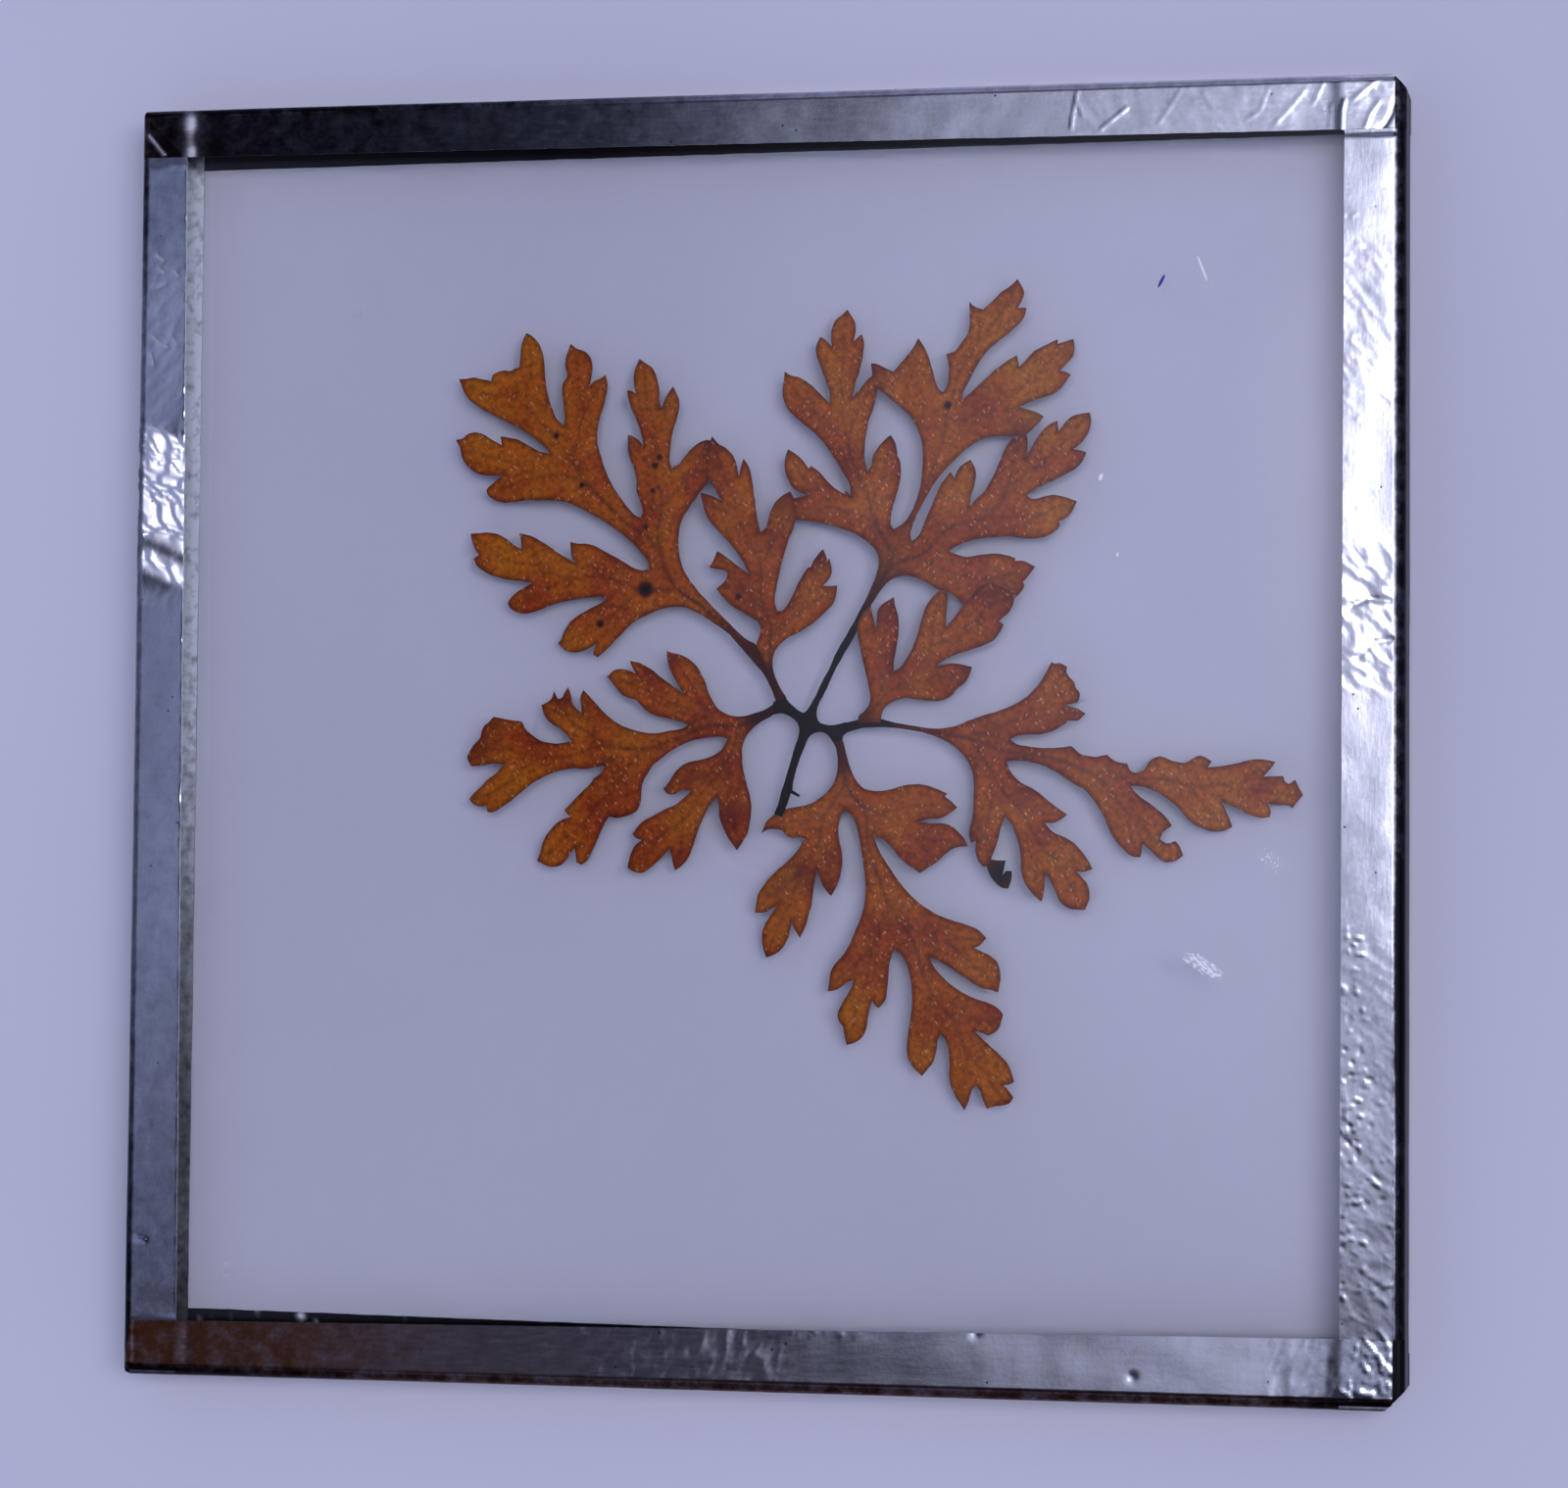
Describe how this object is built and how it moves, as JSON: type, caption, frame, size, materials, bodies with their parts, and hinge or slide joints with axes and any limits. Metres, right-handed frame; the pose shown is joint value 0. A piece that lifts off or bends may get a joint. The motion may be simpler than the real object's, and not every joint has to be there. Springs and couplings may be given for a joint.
{
  "type": "pressed leaf glass frame",
  "caption": "Dried, deeply lobed leaf pressed between square glass panes whose edges are bound all round with folded metal foil.",
  "frame": {"origin": "middle of the underside, on the plane the frame lies on", "axes": "+Z out of the front pane, +Y towards the top of the picture, +X to its right as seen from the front"},
  "size_m": [0.1, 0.1, 0.0054],
  "materials": {
    "back_glass": "clear, slightly greenish at the edge",
    "front_glass": "clear, slightly greenish at the edge",
    "left_foil_strip": "satin foil, creased",
    "right_foil_strip": "satin foil, creased",
    "top_foil_strip": "satin foil, creased",
    "bottom_foil_strip": "satin foil, creased",
    "petiole": "dry and matte",
    "leaflet_left": "dry and matte",
    "leaflet_upper_left": "dry and matte",
    "leaflet_upper_left_inner": "dry and matte",
    "leaflet_upper_right": "dry and matte",
    "leaflet_right_inner": "dry and matte",
    "leaflet_right": "dry and matte",
    "leaflet_lower": "dry and matte"
  },
  "bodies": {
    "root": {"back_glass": "back_glass", "front_glass": "front_glass", "left_foil_strip": "left_foil_strip", "right_foil_strip": "right_foil_strip", "top_foil_strip": "top_foil_strip", "bottom_foil_strip": "bottom_foil_strip", "petiole": "petiole", "leaflet_left": "leaflet_left", "leaflet_upper_left": "leaflet_upper_left", "leaflet_upper_left_inner": "leaflet_upper_left_inner", "leaflet_upper_right": "leaflet_upper_right", "leaflet_right_inner": "leaflet_right_inner", "leaflet_right": "leaflet_right", "leaflet_lower": "leaflet_lower"}
  },
  "joints": []
}
